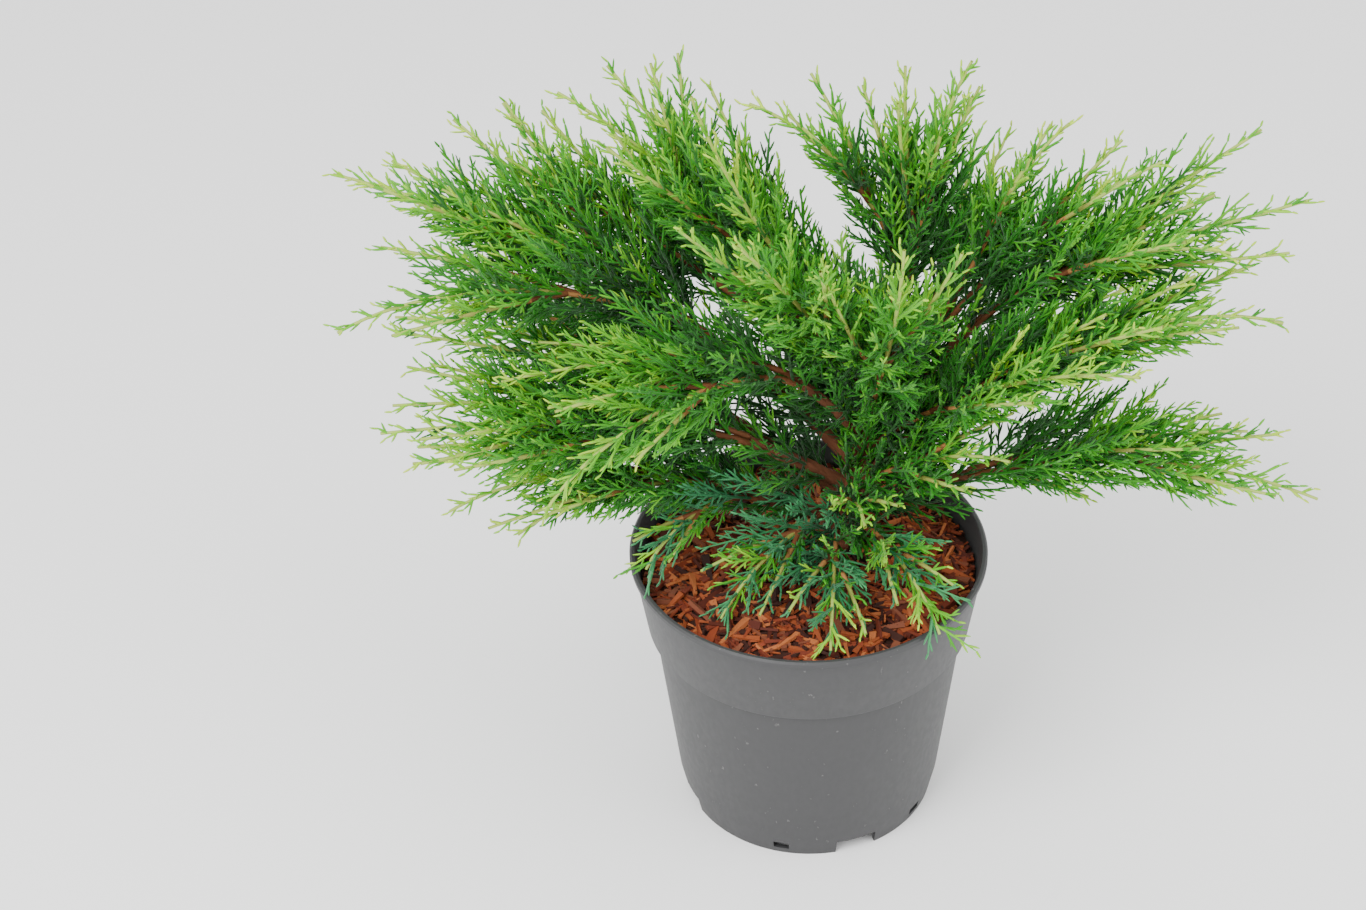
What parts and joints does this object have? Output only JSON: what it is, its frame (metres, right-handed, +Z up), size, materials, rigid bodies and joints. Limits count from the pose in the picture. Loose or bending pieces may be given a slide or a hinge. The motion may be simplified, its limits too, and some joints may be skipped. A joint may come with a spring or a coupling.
{
  "type": "potted savin juniper",
  "caption": "Spreading juniper shrub with feathery scale-leaf sprays, growing in a tapered plastic nursery pot topped with bark chips.",
  "frame": {"origin": "centre of the pot's underside, on the ground", "axes": "+Z up along the pot's axis, +X to the plant's right and +Y to its back as shown in the picture"},
  "size_m": [0.528, 0.2968, 0.4602],
  "materials": {
    "pot_plastic": "satin moulded",
    "potting_mix": "loose, matt",
    "bark_mulch": "loose chips, matt",
    "bark": "rough bark",
    "foliage": "matt leaves"
  },
  "bodies": {
    "root": {"pot": "pot_plastic", "potting_mix": "potting_mix", "bark_mulch": "bark_mulch", "trunk": "bark", "bough_left_low": "bark", "bough_left_back": "bark", "bough_left_mid": "bark", "bough_left_high": "bark", "bough_left_over": "bark", "bough_left_crest": "bark", "bough_crest": "bark", "bough_right_crest": "bark", "bough_right_high": "bark", "bough_right_mid": "bark", "bough_right_low": "bark", "bough_back_left": "bark", "bough_back_right": "bark", "left_low_tip": "foliage", "left_low_reach": "foliage", "left_low_hang": "foliage", "left_back_reach": "foliage", "left_back_low": "foliage", "left_mid_reach": "foliage", "left_mid_fan": "foliage", "left_mid_under": "foliage", "left_high_reach": "foliage", "left_high_droop": "foliage", "left_high_rise": "foliage", "left_crest_reach": "foliage", "left_crest_tip": "foliage", "crest_lean": "foliage", "crest_left": "foliage", "crest_tip": "foliage", "right_crest_tip": "foliage", "right_crest_reach": "foliage", "right_high_reach": "foliage", "right_high_under": "foliage", "right_mid_reach": "foliage", "right_mid_under": "foliage", "right_low_reach": "foliage", "right_low_rise": "foliage", "right_low_under": "foliage", "back_left_low": "foliage", "back_left_high": "foliage", "back_right_low": "foliage", "back_right_high": "foliage", "back_low": "foliage", "back_right_reach": "foliage", "over_hang": "foliage", "over_level": "foliage", "heart_reach": "foliage", "heart_tip": "foliage", "front_lean": "foliage", "front_tip": "foliage", "right_front": "foliage", "right_front_low": "foliage", "front_low": "foliage", "skirt_left": "foliage", "skirt_front": "foliage", "skirt_right": "foliage"}
  },
  "joints": []
}
